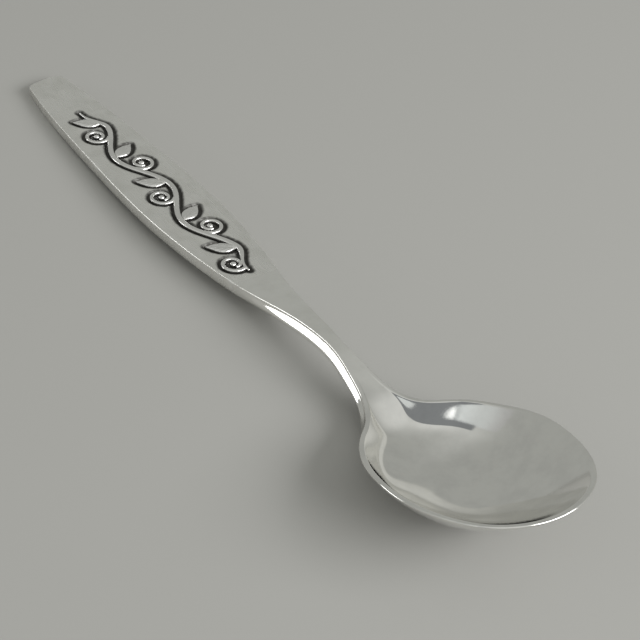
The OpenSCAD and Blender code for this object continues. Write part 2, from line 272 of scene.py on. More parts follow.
# Cubic curve from four handles: the usual weights of t.
def bezier(h, t):
    return h[0] * (1 - t) ** 3 + h[1] * 3 * t * (1 - t) ** 2 + h[2] * 3 * t * t * (1 - t) + h[3] * t ** 3


# Handles of the side curve at x: how far in from the outline and how far down. They turn from the blade's
# upright side to the neck's round one, and at the flare into the bowl's.
def sideHandles(x):
    w = halfWidth(x)
    rounding = ease((x - neckStart) / (form["neckLength"] * form["roundShare"]))
    flare = ease(((x - bowlStart) / bowlLength - form["flareShares"][0]) / form["flareShares"][1])
    bulge, side = form["neckBulge"] * rounding, thickness(x) - edgeHeight
    n, b = form["neckSides"], form["bowlSides"]
    last = w - (w - form["cornerRound"]) * (1 - rounding) - n[4] * w * rounding
    inNeck = [0 * w, -n[0] * bulge, -n[3] * bulge, last]
    inBowl = [0 * w, (1 - b[0]) * w, (1 - b[2]) * w, (1 - b[3]) * w]
    downNeck = [0 * w, (n[1] - n[2] * rounding) * side, side, side]
    downBowl = [0 * w, b[1] * side, side, side]
    inward = [p * (1 - flare) + q * flare for p, q in zip(inNeck, inBowl)]
    down = [p * (1 - flare) + q * flare for p, q in zip(downNeck, downBowl)]
    return inward, down


# How full the bowl's underside is at a share of the half width: the same curve, read across.
underTurn = np.linspace(0, 1, curveSamples["underside"])
underHandles = [1.0, form["bowlSides"][0], form["bowlSides"][2], form["bowlSides"][3]]
underShare = bezier(underHandles, underTurn)
underFull = bezier([0.0, form["bowlSides"][1], 1.0, 1.0], underTurn)


# How far down the underside is at a share of the half width, read off the curve above.
def underFullness(share):
    return np.interp(share, underShare[::-1], underFull[::-1])


# Half of the spoon's skin at the given outline stations: rows are stations, columns run from the
# middle of the top face, out over the edge, down the side and back to the middle underneath.
def halfSkin(outline, direction, reach, columns, edgeRadius, sink=None):
    x, y = outline[:, :1], outline[:, 1:]
    dx, dy = direction[:, :1], direction[:, 1:]
    reach = reach[:, None]
    inner = np.minimum(form["fineBand"], 0.5 * reach)
    lead = np.linspace(0, 1, columns["face"] + 1)[:-1]
    shoulder = np.linspace(0, 1, columns["shoulder"] + 1)[:-1]
    edge = np.linspace(0, math.pi / 2, columns["edge"] + 1)
    inset = np.concatenate([reach + (inner - reach) * lead, inner + (edgeRadius - inner) * shoulder,
                            edgeRadius * (1 - np.sin(edge)) + 0 * reach], 1)
    level = 0 * reach + 0 * np.concatenate([lead, shoulder])
    drop = np.concatenate([level, edgeRadius * (1 - np.cos(edge)) + 0 * reach], 1)
    px, py = x + dx * inset, np.maximum(y + dy * inset, 0)
    inBowl = ease((px - bowlStart + form["dishFade"]) / form["dishFade"])
    pz = topHeight(px) - dishDepth(px, py) * inBowl - drop
    if sink is not None:
        pz = pz - sink(px, py)
    top = np.stack([px, py, pz], -1)
    # the upright edge and the side
    rimZ = topHeight(x)
    handlesIn, handlesDown = sideHandles(x)
    turn = np.linspace(0, 1, columns["side"] + 1)[None, :] ** form["sideSpacing"]
    sideIn, sideDown = bezier(handlesIn, turn), bezier(handlesDown, turn)
    nose = x > widestX
    noseIn = reach * (1 - bezier(underHandles, turn))
    sideIn = np.where(nose, noseIn, sideIn)
    sx, sy = x + dx * sideIn, y + dy * sideIn
    noseShare = np.clip(sy / np.maximum(halfWidth(sx), 1e-6), 0, 1)
    noseDown = (thickness(sx) - edgeHeight) * underFullness(noseShare)
    sz = topHeight(sx) - edgeHeight - np.where(nose, noseDown, sideDown)
    side = np.stack([sx, np.maximum(sy, 0), sz], -1)
    # round the corner between the upright edge and the side with a short curve
    step = columns["corner"]
    radius = np.clip(np.linalg.norm(side[:, step] - side[:, 0], axis=-1), 0, 0.5 * edgeHeight)[:, None]
    above = np.concatenate([x, y, rimZ - edgeHeight + radius], 1)
    bend = np.linspace(0, 1, step + 2)[None, :, None]
    corner = above[:, None] * (1 - bend) ** 2 + side[:, None, 0] * 2 * bend * (1 - bend) \
        + side[:, None, step] * bend ** 2
    rise = np.linspace(0, 1, columns["upright"] + 1)[1:-1][None, :, None]
    upright = top[:, None, -1] * (1 - rise) + above[:, None] * rise
    # the underside back to the middle
    back = np.linspace(0, 1, columns["under"] + 1)[1:][None, :]
    lastIn = sideIn[:, -1:]
    underIn = lastIn + (reach - lastIn) * back
    ux, uy = x + dx * underIn, np.maximum(y + dy * underIn, 0)
    under = np.stack([ux, uy * (back < 1), topHeight(ux) - thickness(ux)], -1)
    skin = np.concatenate([top, upright, corner, side[:, step + 1:], under], 1)
    skin[:, 0, 1] = 0
    return skin


# Joins the far half skin and the near one, which is given on the far side too, into a closed mesh.
# A row that ends on the middle line closes by itself, and an open row gets a cap. The one row beyond
# an open end only lends its slope to the normals. Marks are numbers kept at the vertices.
def skinPiece(name, skin, nearSkin, openStart, openEnd, marks=None):
    rows, cols = skin.shape[:2]
    far = np.arange(rows * cols).reshape(rows, cols)
    near = far + rows * cols
    near[:, 0], near[:, -1] = far[:, 0], far[:, -1]
    if not openStart:
        near[0] = far[0]
    if not openEnd:
        near[-1] = far[-1]
    points = np.concatenate([skin.reshape(-1, 3), nearSkin.reshape(-1, 3) * (1, -1, 1)])
    points[:, 0] -= spoonLength / 2
    points *= mm
    farQuads = np.stack([far[:-1, :-1], far[:-1, 1:], far[1:, 1:], far[1:, :-1]], -1).reshape(-1, 4)
    nearQuads = np.stack([near[:-1, :-1], near[1:, :-1], near[1:, 1:], near[:-1, 1:]], -1).reshape(-1, 4)
    quads = np.concatenate([farQuads, nearQuads])
    diagonalOne = points[quads[:, 2]] - points[quads[:, 0]]
    diagonalTwo = points[quads[:, 3]] - points[quads[:, 1]]
    faceNormals = np.cross(diagonalOne, diagonalTwo)
    normals = np.zeros_like(points)
    for corner in range(4):
        np.add.at(normals, quads[:, corner], faceNormals)
    normals /= np.linalg.norm(normals, axis=1)[:, None] + 1e-30
    first, last = (1 if openStart else 0), (rows - 1 if not openEnd else rows - 2)
    keep = np.zeros(rows - 1, bool)
    keep[first:last] = True
    quads = np.concatenate([farQuads.reshape(rows - 1, -1, 4)[keep].reshape(-1, 4),
                            nearQuads.reshape(rows - 1, -1, 4)[keep].reshape(-1, 4)])
    faces, loopNormals = [quads], [normals[quads].reshape(-1, 3)]
    hubs = []
    for row, facing in ((first, -1), (last, 1)):
        if (row == first and not openStart) or (row == last and not openEnd):
            continue
        ring = np.concatenate([far[row], near[row][-2:0:-1]])
        hub = len(points) + len(hubs)
        hubs.append(points[ring].mean(0))
        pairs = np.stack([ring, np.roll(ring, -1)], -1)
        pairs = pairs[:, ::-1] if facing < 0 else pairs
        fans = np.concatenate([pairs, np.full((len(ring), 1), hub)], 1)
        faces.append(fans)
        loopNormals.append(np.tile([facing, 0.0, 0.0], (3 * len(ring), 1)))
    points = np.concatenate([points, np.array(hubs).reshape(-1, 3)])
    marks = {key: np.concatenate([value, np.zeros(len(hubs))]) for key, value in (marks or {}).items()}
    return meshPiece(name, points, faces, np.concatenate(loopNormals), marks)


# Puts vertices, arrays of faces, one normal for each face corner and marks into a new object, and
# leaves out the points that no face uses.
def meshPiece(name, points, faces, loopNormals=None, marks=None):
    flat = np.concatenate([f.reshape(-1) for f in faces])
    used, renumbered = np.unique(flat, return_inverse=True)
    sizes = np.concatenate([np.full(len(f), f.shape[1]) for f in faces])
    mesh = bpy.data.meshes.new(name)
    mesh.vertices.add(len(used))
    mesh.vertices.foreach_set("co", points[used].astype(np.float32).ravel())
    mesh.loops.add(len(flat))
    mesh.loops.foreach_set("vertex_index", renumbered.astype(np.int32).ravel())
    mesh.polygons.add(len(sizes))
    mesh.polygons.foreach_set("loop_start", np.concatenate([[0], np.cumsum(sizes)[:-1]]).astype(np.int32))
    mesh.update(calc_edges=True)
    mesh.validate(clean_customdata=False)
    mesh.polygons.foreach_set("use_smooth", np.ones(len(mesh.polygons), bool))
    for key, value in (marks or {}).items():
        mesh.attributes.new(key, "FLOAT", "POINT").data.foreach_set("value", value[used].astype(np.float32))
    if loopNormals is not None and len(mesh.loops) == len(loopNormals):
        mesh.normals_split_custom_set(loopNormals.tolist())
    piece = bpy.data.objects.new(name, mesh)
    bpy.context.scene.collection.objects.link(piece)
    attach(piece, "root")
    print("made", name, "with", len(mesh.polygons), "faces")
    return piece


# The camera stands where the photograph was taken from. Its clip distances are in metres.
cameraPlace = {"target": (9.47, 6.13, 0.0), "azimuth": -38.60, "elevation": 37.52, "roll": 6.80,
               "distance": 284.4, "lens": 101.25, "sensor": 36, "clip": (0.01, 20)}


# Goes back from the target along its two angles, looks at it and rolls about that line.
def placeCamera(place):
    az, el, roll = (math.radians(place[k]) for k in ("azimuth", "elevation", "roll"))
    back = Vector((math.cos(el) * math.cos(az), math.cos(el) * math.sin(az), math.sin(el)))
    right = (-back).cross(Vector((0, 0, 1))).normalized()
    up = right.cross(-back)
    turnedRight = math.cos(roll) * right + math.sin(roll) * up
    turnedUp = -math.sin(roll) * right + math.cos(roll) * up
    lens = bpy.data.cameras.new("camera")
    lens.lens, lens.sensor_width = place["lens"], place["sensor"]
    lens.clip_start, lens.clip_end = place["clip"]
    camera = bpy.data.objects.new("camera", lens)
    spot = (Vector(place["target"]) + back * place["distance"]) * mm
    turned = Matrix((turnedRight, turnedUp, back)).transposed().to_4x4()
    camera.matrix_world = Matrix.Translation(spot) @ turned
    bpy.context.scene.collection.objects.link(camera)
    bpy.context.scene.camera = camera


placeCamera(cameraPlace)
print("camera placed")

# The vine is a winding stem with a leaf and a scroll round a berry in each of its bays.
vine = {
    "start": 14.0, "length": 56.0, "swing": 2.1, "stemWidth": 1.0, "bays": 5,
    "tipShare": 0.35, "fadeShare": 0.12,
    "leafLength": 5.0, "leafWidth": 2.6, "leafPower": 0.8, "leafTurn": 238, "leafBase": (-0.06, 0.72),
    "tendrilWidth": 0.7, "scrollRadius": 2.2, "scrollShare": 0.56, "scrollStart": 60, "scrollTurn": 420,
    "scrollCentre": (0.26, -0.62), "scrollThin": (1.05, 0.25), "berryRadius": 0.5,
    "groundDepth": 0.4, "groundGap": 0.6, "proud": 0.2, "footDepth": 0.05,
    "wallWidth": 0.5, "wallShare": 0.75, "darkest": 0.32, "halo": 1.0,
    "sidePower": 0.7, "archPower": 0.35, "markShare": 0.8,
    # crests as shares of how far the relief stands proud: at the thin places and what the full ones add
    "stemCrest": (0.2, 0.8), "leafCrest": (0.1, 0.9), "leafFull": 0.7, "scrollCrest": (0.9, 0.7),
    # how far from the relief it is looked for: past its ends, around a row, and what stands for far away
    "pastEnds": 2.0, "around": 3.5, "farAway": 9.0,
    "margin": 1.4,            # how far past the vine's ends the blade keeps its fine rows
}
bayLength = vine["length"] / vine["bays"]


# The stem's middle line: half waves whose swing fades in at both ends.
def stemY(x):
    u = (x - vine["start"]) / vine["length"]
    swing = vine["swing"] * ease(np.minimum(u, 1 - u) / vine["fadeShare"])
    return swing * np.sin(math.pi * (x - vine["start"]) / bayLength)


# Half the stem's width, which thins to a share of itself at both ends.
def stemRadius(x):
    u = (x - vine["start"]) / vine["length"]
    thick = ease(np.minimum(u, 1 - u) / vine["fadeShare"])
    return vine["stemWidth"] / 2 * (vine["tipShare"] + (1 - vine["tipShare"]) * thick)


# A place in a bay: its middle plus shares of the bay's length and of the swing. Every second bay is
# mirrored.
def inBay(bay, shares):
    side = 1 if bay % 2 else -1
    centre = vine["start"] + (bay - 0.5) * bayLength + shares[0] * bayLength
    return np.array([centre, side * shares[1] * vine["swing"]]), side


# Places along the stem, evenly spaced, and its half width at each.
def stemPath(count):
    x = vine["start"] + vine["length"] * np.linspace(0, 1, count)
    return np.stack([x, stemY(x)], -1), stemRadius(x)


# Middle line of a leaf, and its half width: a pointed oval, fuller near its base.
def leafPath(bay, count):
    base, side = inBay(bay, vine["leafBase"])
    u = 0.5 - 0.5 * np.cos(np.linspace(0, math.pi, count))
    turn = math.radians(vine["leafTurn"])
    path = base + vine["leafLength"] * u[:, None] * np.array([math.cos(turn), side * math.sin(turn)])
    return path, vine["leafWidth"] / 2 * np.sin(math.pi * u ** vine["leafPower"]) + 1e-4


# A scroll winds in at an even rate and thins a little. It keeps what lies past the stem's middle line.
def scrollPath(bay, count):
    centre, side = inBay(bay, vine["scrollCentre"])
    u = np.linspace(0, 1, count)
    turn = np.radians(vine["scrollStart"] - vine["scrollTurn"] * u)
    radius = vine["scrollRadius"] * (1 - vine["scrollShare"] * u)
    path = centre + radius[:, None] * np.stack([np.cos(turn), side * np.sin(turn)], -1)
    below = side * (path[:, 1] - stemY(path[:, 0])) < 0
    thick, thinning = vine["scrollThin"]
    return path[below], (vine["tendrilWidth"] / 2 * (thick - thinning * u))[below]


# How many discs stand for each stem, leaf and scroll. A berry is one disc.
discCounts = {"stem": 420, "leaf": 26, "scroll": 110}
reliefDiscs = [stemPath(discCounts["stem"])]
for bay in range(1, vine["bays"] + 1):
    reliefDiscs += [leafPath(bay, discCounts["leaf"]), scrollPath(bay, discCounts["scroll"]),
                    (inBay(bay, vine["scrollCentre"])[0][None], np.array([vine["berryRadius"]]))]
discPlaces = np.concatenate([path for path, radius in reliefDiscs])
discRadii = np.concatenate([radius for path, radius in reliefDiscs])


# Distance from the nearest relief piece, each of which is a row of discs: the distance from a disc's middle
# less its radius. It works through the rows of the grid.
def fromRelief(x, y):
    gap = np.full(x.shape, vine["farAway"])
    first, last = vine["start"] - vine["pastEnds"], vine["start"] + vine["length"] + vine["pastEnds"]
    for row in np.flatnonzero((x.min(1) < last) & (x.max(1) > first)):
        near = np.abs(discPlaces[:, 0] - x[row].mean()) < vine["around"]
        if near.any():
            away = np.hypot(x[row][:, None] - discPlaces[near, 0], y[row][:, None] - discPlaces[near, 1])
            gap[row] = (away - discRadii[near]).min(1)
    return gap


# The ground is sunk round the relief, with a sloping wall at its edge.
def sinkOf(x, y):
    outside = fromRelief(x, y) - vine["groundGap"]
    down = ease((outside + vine["wallShare"] * vine["wallWidth"]) / vine["wallWidth"])
    return vine["groundDepth"] * (1 - down)


# The film is darkest at the foot of the relief and thins out with the distance from it.
def tarnishOf(x, y):
    return 1 - ease((fromRelief(x, y) - vine["darkest"]) / vine["halo"])


# The spoon's three plain parts. Each has the columns of its half skin, its rows and the radius of its edge.
# Along the blade the rows have steps instead, and near its cut end they fan out.
handleMesh = {"face": 58, "shoulder": 9, "edge": 5, "upright": 2, "corner": 3, "side": 9, "under": 5,
              "edgeRadius": 0.16, "endRows": 46, "lastRows": 4, "endStep": 0.12, "plainStep": 0.25,
              "fineStep": 0.135, "fanDepth": 3.2, "fanLength": 12}
neckMesh = {"face": 14, "shoulder": 8, "edge": 7, "upright": 3, "corner": 5, "side": 34, "under": 8,
            "edgeRadius": 0.14, "rows": 130}
bowlMesh = {"face": 52, "shoulder": 14, "edge": 9, "upright": 3, "corner": 5, "side": 40, "under": 4,
            "edgeRadius": 0.2, "rows": 120, "noseRows": 170}
spareRow = 0.2                # how far past a joint the row lies that only lends its slope

endX, endY = endStations(handleMesh["endRows"])
vineStart, vineEnd = vine["start"] - vine["margin"], vine["start"] + vine["length"] + vine["margin"]
sideX = np.concatenate([np.arange(endX[-1] + handleMesh["endStep"], vineStart, handleMesh["plainStep"]),
                        np.arange(vineStart, vineEnd, handleMesh["fineStep"]),
                        np.linspace(vineEnd, neckStart, handleMesh["lastRows"]), [neckStart + spareRow]])
outline = np.concatenate([np.stack([endX, endY], -1), stations(sideX)[0]])
# near the cut end the rows fan out from places further in
fanShare = 1 - ease(outline[:, 0] / handleMesh["fanLength"])
aim = np.stack([outline[:, 0] + handleMesh["fanDepth"] * fanShare, 0 * outline[:, 0]], -1)
reach = np.linalg.norm(aim - outline, axis=1)
bladeRows = (outline, (aim - outline) / reach[:, None], reach, handleMesh, handleMesh["edgeRadius"])
farSkin = leaned(halfSkin(*bladeRows, sinkOf), 1)
nearSkin = leaned(halfSkin(*bladeRows, lambda x, y: sinkOf(x, -y)), -1)
topColumns = handleMesh["face"] + handleMesh["shoulder"] + handleMesh["edge"] + 1
onTop = np.arange(farSkin.shape[1]) < topColumns
tarnish = np.concatenate([(tarnishOf(half[..., 0], side * half[..., 1]) * onTop).reshape(-1)
                          for half, side in ((farSkin, 1), (nearSkin, -1))])
bladePiece = skinPiece("bladeSilver", farSkin, nearSkin, False, True, {"tarnish": tarnish})

neckX = np.concatenate([[neckStart - spareRow], np.linspace(neckStart, bowlStart, neckMesh["rows"]),
                        [bowlStart + spareRow]])
neckSkin = halfSkin(*stations(neckX), neckMesh, neckMesh["edgeRadius"])
neckPiece = skinPiece("neckSilver", neckSkin, neckSkin, True, True)

noseTurn = np.linspace(0, math.pi / 2, bowlMesh["noseRows"])[1:]
bowlX = np.concatenate([[bowlStart - spareRow], np.linspace(bowlStart, widestX, bowlMesh["rows"]),
                        widestX + (spoonLength - widestX) * np.sin(noseTurn)])
bowlSkin = halfSkin(*stations(bowlX), bowlMesh, bowlMesh["edgeRadius"])
bowlSkin[-1, :, 1] = 0
# the bowl's shoulder is a piece of its own, so that the neck's lamp can light it too
split = int(np.searchsorted(bowlX, bowlStart + form["shoulderLength"]))
shoulderPiece = skinPiece("shoulderSilver", bowlSkin[:split + 2], bowlSkin[:split + 2], True, True)
bowlPiece = skinPiece("bowlSilver", bowlSkin[split - 1:], bowlSkin[split - 1:], True, False)
print("lowest point of the bowl, mm:", float(bowlSkin[..., 2].min()))


# Places points that lie on or above the blade's slanting face: along it, across it and up from it, turned
# by the face's tilt.
def onFace(along, across, up):
    tilt = math.atan(faceSlope)
    return np.stack([along * math.cos(tilt) - up * math.sin(tilt), across + 0 * along,
                     form["endThickness"] + along * math.sin(tilt) + up * math.cos(tilt)], -1)


# A raised bar along a path: at each place an arch of the given half width, from under the ground to its
# crest. Powers of the cosine and the sine make its sides steep and its top flat, and a cap closes each end.
# The marks tell how far down a vertex lies.
def ridgePiece(name, path, radius, crest, columns, carve=None):
    run = np.gradient(path, axis=0)
    run /= np.linalg.norm(run, axis=1)[:, None]
    across = np.stack([-run[:, 1], run[:, 0]], -1)
    turn = np.linspace(0, math.pi, columns)
    side = np.sign(np.cos(turn)) * np.abs(np.cos(turn)) ** vine["sidePower"]
    arch = np.sin(turn) ** vine["archPower"]
    foot = -vine["groundDepth"] - vine["footDepth"]
    up = foot + (crest[:, None] - foot) * arch
    if carve is not None:
        up = up - carve(np.linspace(0, 1, len(path))[:, None], side[None, :]) * arch ** 2
    place = path[:, None] + across[:, None] * (radius[:, None] * side)[..., None]
    grid = onFace(place[..., 0], place[..., 1], up)
    rows = len(path)
    count = rows * columns
    index = np.arange(count).reshape(rows, columns)
    beside = np.roll(index, -1, axis=1)
    quads = np.stack([index[:-1], beside[:-1], beside[1:], index[1:]], -1).reshape(-1, 4)
    halfUp = np.array([foot, foot]) + 0.5 * (crest[[0, -1]] - foot)
    ends = onFace(path[[0, -1], 0], path[[0, -1], 1], halfUp)
    caps = [np.stack([beside[0], index[0], np.full(columns, count)], -1),
            np.stack([index[-1], beside[-1], np.full(columns, count + 1)], -1)]
    points = np.concatenate([grid.reshape(-1, 3), ends])
    points[:, 0] -= spoonLength / 2
    risen = (up - foot) / (vine["markShare"] * (vine["proud"] - foot))
    depth = np.concatenate([1 - ease(risen).reshape(-1), [1, 1]])
    return meshPiece(name, points * mm, [quads, *caps], None, {"tarnish": depth})


leafCut = {
    "midribDepth": 0.16, "midribWidth": 0.16, "midribFade": 0.6,
    "veinDepth": 0.05, "veinCount": 7, "veinSlant": 2.2, "besideMidrib": (0.12, 0.2),
    "baseShare": 0.1, "pointShare": 0.15,
}


# How deep a leaf's veins are cut, at shares u along it and v across it. The midrib is a bell curve that
# fades towards the point, and the side veins are squared waves that run forward from it.
def leafVeins(u, v):
    cut = leafCut
    midrib = cut["midribDepth"] * np.exp(-(v / cut["midribWidth"]) ** 2) * (1 - cut["midribFade"] * u)
    wave = 0.5 + 0.5 * np.cos(2 * math.pi * (cut["veinCount"] * u - cut["veinSlant"] * np.abs(v)))
    clear, fade = cut["besideMidrib"]
    veins = cut["veinDepth"] * wave ** 2 * ease((np.abs(v) - clear) / fade)
    return (midrib + veins) * ease(u / cut["baseShare"]) * ease((1 - u) / cut["pointShare"])


# Rows along each kind of relief piece, and columns across it.
reliefMesh = {"stem": (460, 20), "leaf": (64, 44), "scroll": (130, 18), "berry": (24, 24)}


# The stem, and for each bay a leaf, a scroll and a berry. A berry is a short ridge whose half width follows
# a circle.
def makeVine():
    proud = vine["proud"]
    rows, columns = reliefMesh["stem"]
    path, radius = stemPath(rows)
    low, rise = vine["stemCrest"]
    stem = ridgePiece("vineStem", path, radius, proud * (low + rise * radius / radius.max()), columns)
    pieces = [(stem, "vine_stem")]
    for bay in range(1, vine["bays"] + 1):
        rows, columns = reliefMesh["leaf"]
        path, radius = leafPath(bay, rows)
        low, rise = vine["leafCrest"]
        crest = proud * (low + rise * ease(radius / radius.max() / vine["leafFull"]))
        leaf = ridgePiece("vineLeaf%d" % bay, path, radius, crest, columns, leafVeins)
        pieces.append((leaf, "leaf_%d" % bay))
        rows, columns = reliefMesh["scroll"]
        path, radius = scrollPath(bay, rows)
        crest = proud * np.linspace(*vine["scrollCrest"], len(path))
        pieces.append((ridgePiece("vineScroll%d" % bay, path, radius, crest, columns), "tendril_%d" % bay))
        rows, columns = reliefMesh["berry"]
        centre = inBay(bay, vine["scrollCentre"])[0]
        reach = np.cos(np.linspace(math.pi, 0, rows)) * vine["berryRadius"]
        path = centre + np.stack([reach, 0 * reach], -1)
        radius = np.sqrt(np.maximum(vine["berryRadius"] ** 2 - reach ** 2, 1e-6))
        crest = -vine["groundDepth"] + (proud + vine["groundDepth"]) * np.sqrt(radius / vine["berryRadius"])
        pieces.append((ridgePiece("vineBerry%d" % bay, path, radius, crest, columns), "berry_%d" % bay))
    return pieces


vinePieces = makeVine()
for piece, node in vinePieces:
    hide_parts(node)
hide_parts("handle")
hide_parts("neck")
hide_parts("bowl")
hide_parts("bowl")


# A new material, its node tree and its shader.
def newMaterial(name):
    material = bpy.data.materials.new(name)
    material.use_nodes = True
    return material, material.node_tree, material.node_tree.nodes["Principled BSDF"]


# Adds a node with its settings, and the given values on its sockets.
def addNode(tree, kind, settings=None, values=None):
    node = tree.nodes.new(kind)
    for key, value in (settings or {}).items():
        setattr(node, key, value)
    for key, value in (values or {}).items():
        node.inputs[key].default_value = value
    return node


# Noise in object space, stretched by the given scale along each axis and turned about Z.
def noiseNode(tree, scale, detail=2.0, roughness=0.5, turn=0.0):
    place = addNode(tree, "ShaderNodeTexCoord")
    mapping = addNode(tree, "ShaderNodeMapping",
                      values={"Rotation": (0, 0, math.radians(turn)), "Scale": scale})
    noise = addNode(tree, "ShaderNodeTexNoise",
                    values={"Scale": 1.0, "Detail": detail, "Roughness": roughness})
    tree.links.new(place.outputs["Object"], mapping.inputs["Vector"])
    tree.links.new(mapping.outputs["Vector"], noise.inputs["Vector"])
    return noise.outputs["Fac"]


# Carries a value from one range to another along a smooth step, held at both ends.
def rangeNode(tree, source, low, high, toLow, toHigh):
    node = addNode(tree, "ShaderNodeMapRange", {"interpolation_type": "SMOOTHSTEP"},
                   {"From Min": low, "From Max": high, "To Min": toLow, "To Max": toHigh})
    tree.links.new(source, node.inputs["Value"])
    return node.outputs["Result"]


# One sum or product of two values, each a number or a socket.
def mathNode(tree, operation, a, b):
    node = addNode(tree, "ShaderNodeMath", {"operation": operation})
    for socket, value in zip(node.inputs, (a, b)):
        if isinstance(value, (int, float)):
            socket.default_value = value
        else:
            tree.links.new(value, socket)
    return node.outputs["Value"]


# Colour a turned into colour b by a share, where each is a colour or a socket.
def mixColors(tree, share, a, b):
    node = addNode(tree, "ShaderNodeMix", {"data_type": "RGBA"})
    for socket, value in ((node.inputs["Factor"], share), (node.inputs["A"], a), (node.inputs["B"], b)):
        if isinstance(value, tuple):
            socket.default_value = (*value, 1)
        else:
            tree.links.new(value, socket)
    return node.outputs["Result"]


bladeLook = {"color": (0.94, 0.935, 0.91), "worn": (0.86, 0.855, 0.825), "roughness": (0.24, 0.34),
             "scratch": 0.035, "wave": 0.0, "tarnished": True}
polishedLook = {"color": (0.96, 0.955, 0.93), "worn": (0.90, 0.895, 0.865), "roughness": (0.08, 0.14),
                "scratch": 0.05, "wave": 0.02, "tarnished": False,
                "bowl": {"color": (0.88, 0.875, 0.85), "worn": (0.81, 0.805, 0.785),
                         "roughness": (0.03, 0.06)},
                "blend": (22.0, 34.0)}
reliefLook = {"color": (0.93, 0.925, 0.91), "worn": (0.86, 0.855, 0.84), "roughness": (0.18, 0.3),
              "scratch": 0.03, "wave": 0.0, "tarnished": True}
# The silver's grain. Each noise has its scale along X, Y and Z for each metre, its detail, its roughness
# and, where it slants, its turn in degrees.
grain = {
    "patches": ((260, 260, 260), 4, 0.6), "polish": ((420, 1500, 900), 3, 0.6, 12),
    "alongLines": ((900, 26000, 26000), 2, 0.6, 4), "acrossLines": ((21000, 1200, 21000), 2, 0.6, -31),
    "waves": ((210, 210, 210), 1.5, 0.45), "breakup": ((1500, 1500, 1500), 3, 0.6),
    "patchRange": (0.35, 0.7), "middleRange": (0.3, 0.7),
    "scratchDepth": 0.02, "waveDepth": 0.2,
    "filmColor": (0.075, 0.073, 0.068), "filmRange": (0.2, 1.0), "filmBreakup": 0.1, "filmRoughness": 0.2,
}


# Silver is a bright metal whose tint and polish vary softly, with fine scratches along it and across it.
# Where the tarnish mark is high it turns into the dark, dull film that stays in the sunk ground. From the
# neck to the bowl one finish turns into the other between two places along the spoon.
def silverMaterial(name, look):
    material, tree, shader = newMaterial(name)
    shader.inputs["Metallic"].default_value = 1
    patches = rangeNode(tree, noiseNode(tree, *grain["patches"]), *grain["patchRange"], 0, 1)
    color = mixColors(tree, patches, look["color"], look["worn"])
    polish = rangeNode(tree, noiseNode(tree, *grain["polish"]), *grain["middleRange"], *look["roughness"])
    if "bowl" in look:
        place = addNode(tree, "ShaderNodeSeparateXYZ")
        tree.links.new(addNode(tree, "ShaderNodeTexCoord").outputs["Object"], place.inputs[0])
        share = rangeNode(tree, place.outputs["X"], look["blend"][0] * mm, look["blend"][1] * mm, 0, 1)
        bowlColor = mixColors(tree, patches, look["bowl"]["color"], look["bowl"]["worn"])
        color = mixColors(tree, share, color, bowlColor)
        finer = look["bowl"]["roughness"][0] / look["roughness"][0]
        polish = mathNode(tree, "MULTIPLY", polish, rangeNode(tree, share, 0, 1, 1, finer))
    alongLines = noiseNode(tree, *grain["alongLines"])
    acrossLines = noiseNode(tree, *grain["acrossLines"])
    lines = mathNode(tree, "ADD", alongLines, acrossLines)
    bump = addNode(tree, "ShaderNodeBump",
                   values={"Strength": look["scratch"], "Distance": grain["scratchDepth"] * mm})
    tree.links.new(lines, bump.inputs["Height"])
    if look["wave"]:
        wave = addNode(tree, "ShaderNodeBump",
                       values={"Strength": look["wave"], "Distance": grain["waveDepth"] * mm})
        tree.links.new(noiseNode(tree, *grain["waves"]), wave.inputs["Height"])
        tree.links.new(wave.outputs["Normal"], bump.inputs["Normal"])
    tree.links.new(bump.outputs["Normal"], shader.inputs["Normal"])
    if look["tarnished"]:
        mark = addNode(tree, "ShaderNodeAttribute", {"attribute_name": "tarnish"})
        breakup = rangeNode(tree, noiseNode(tree, *grain["breakup"]), *grain["middleRange"],
                            -grain["filmBreakup"], grain["filmBreakup"])
        uneven = mathNode(tree, "ADD", mark.outputs["Fac"], breakup)
        film = rangeNode(tree, uneven, *grain["filmRange"], 0, 1)
        color = mixColors(tree, film, color, grain["filmColor"])
        duller = mathNode(tree, "MULTIPLY", film, grain["filmRoughness"])
        polish = mathNode(tree, "ADD", polish, duller)
    tree.links.new(color, shader.inputs["Base Color"])
    tree.links.new(polish, shader.inputs["Roughness"])
    return material


for pieces, look, slot in (((bladePiece,), bladeLook, "silver"), ((neckPiece,), polishedLook, "silver"),
                           ((shoulderPiece, bowlPiece), polishedLook, "bowl_silver"),
                           ([piece for piece, node in vinePieces], reliefLook, "relief_silver")):
    silver = silverMaterial(pieces[0].name + "Metal", look)
    for piece in pieces:
        piece.data.materials.append(silver)
print("silver finishes made")

studio = {
    "floorColor": (0.41, 0.407, 0.39), "floorSize": 3.0, "floorRoughness": 0.9,
    "dimSide": (0.358, 0.363, 0.342), "brightSide": (0.66, 0.665, 0.64),
    "toward": (0.8, -0.1, 0.6), "spread": (-0.2, 1.0),
}


# A plain square floor, level with the lowest points of the spoon.
def makeFloor(look):
    half = look["floorSize"] / 2
    mesh = bpy.data.meshes.new("floor")
    corners = [(-half, -half, 0), (half, -half, 0), (half, half, 0), (-half, half, 0)]
    mesh.from_pydata(corners, [], [(0, 1, 2, 3)])
    floor = bpy.data.objects.new("floor", mesh)
    bpy.context.scene.collection.objects.link(floor)
    material, tree, shader = newMaterial("paleFloor")
    shader.inputs["Base Color"].default_value = (*look["floorColor"], 1)
    shader.inputs["Roughness"].default_value = look["floorRoughness"]
    floor.data.materials.append(material)


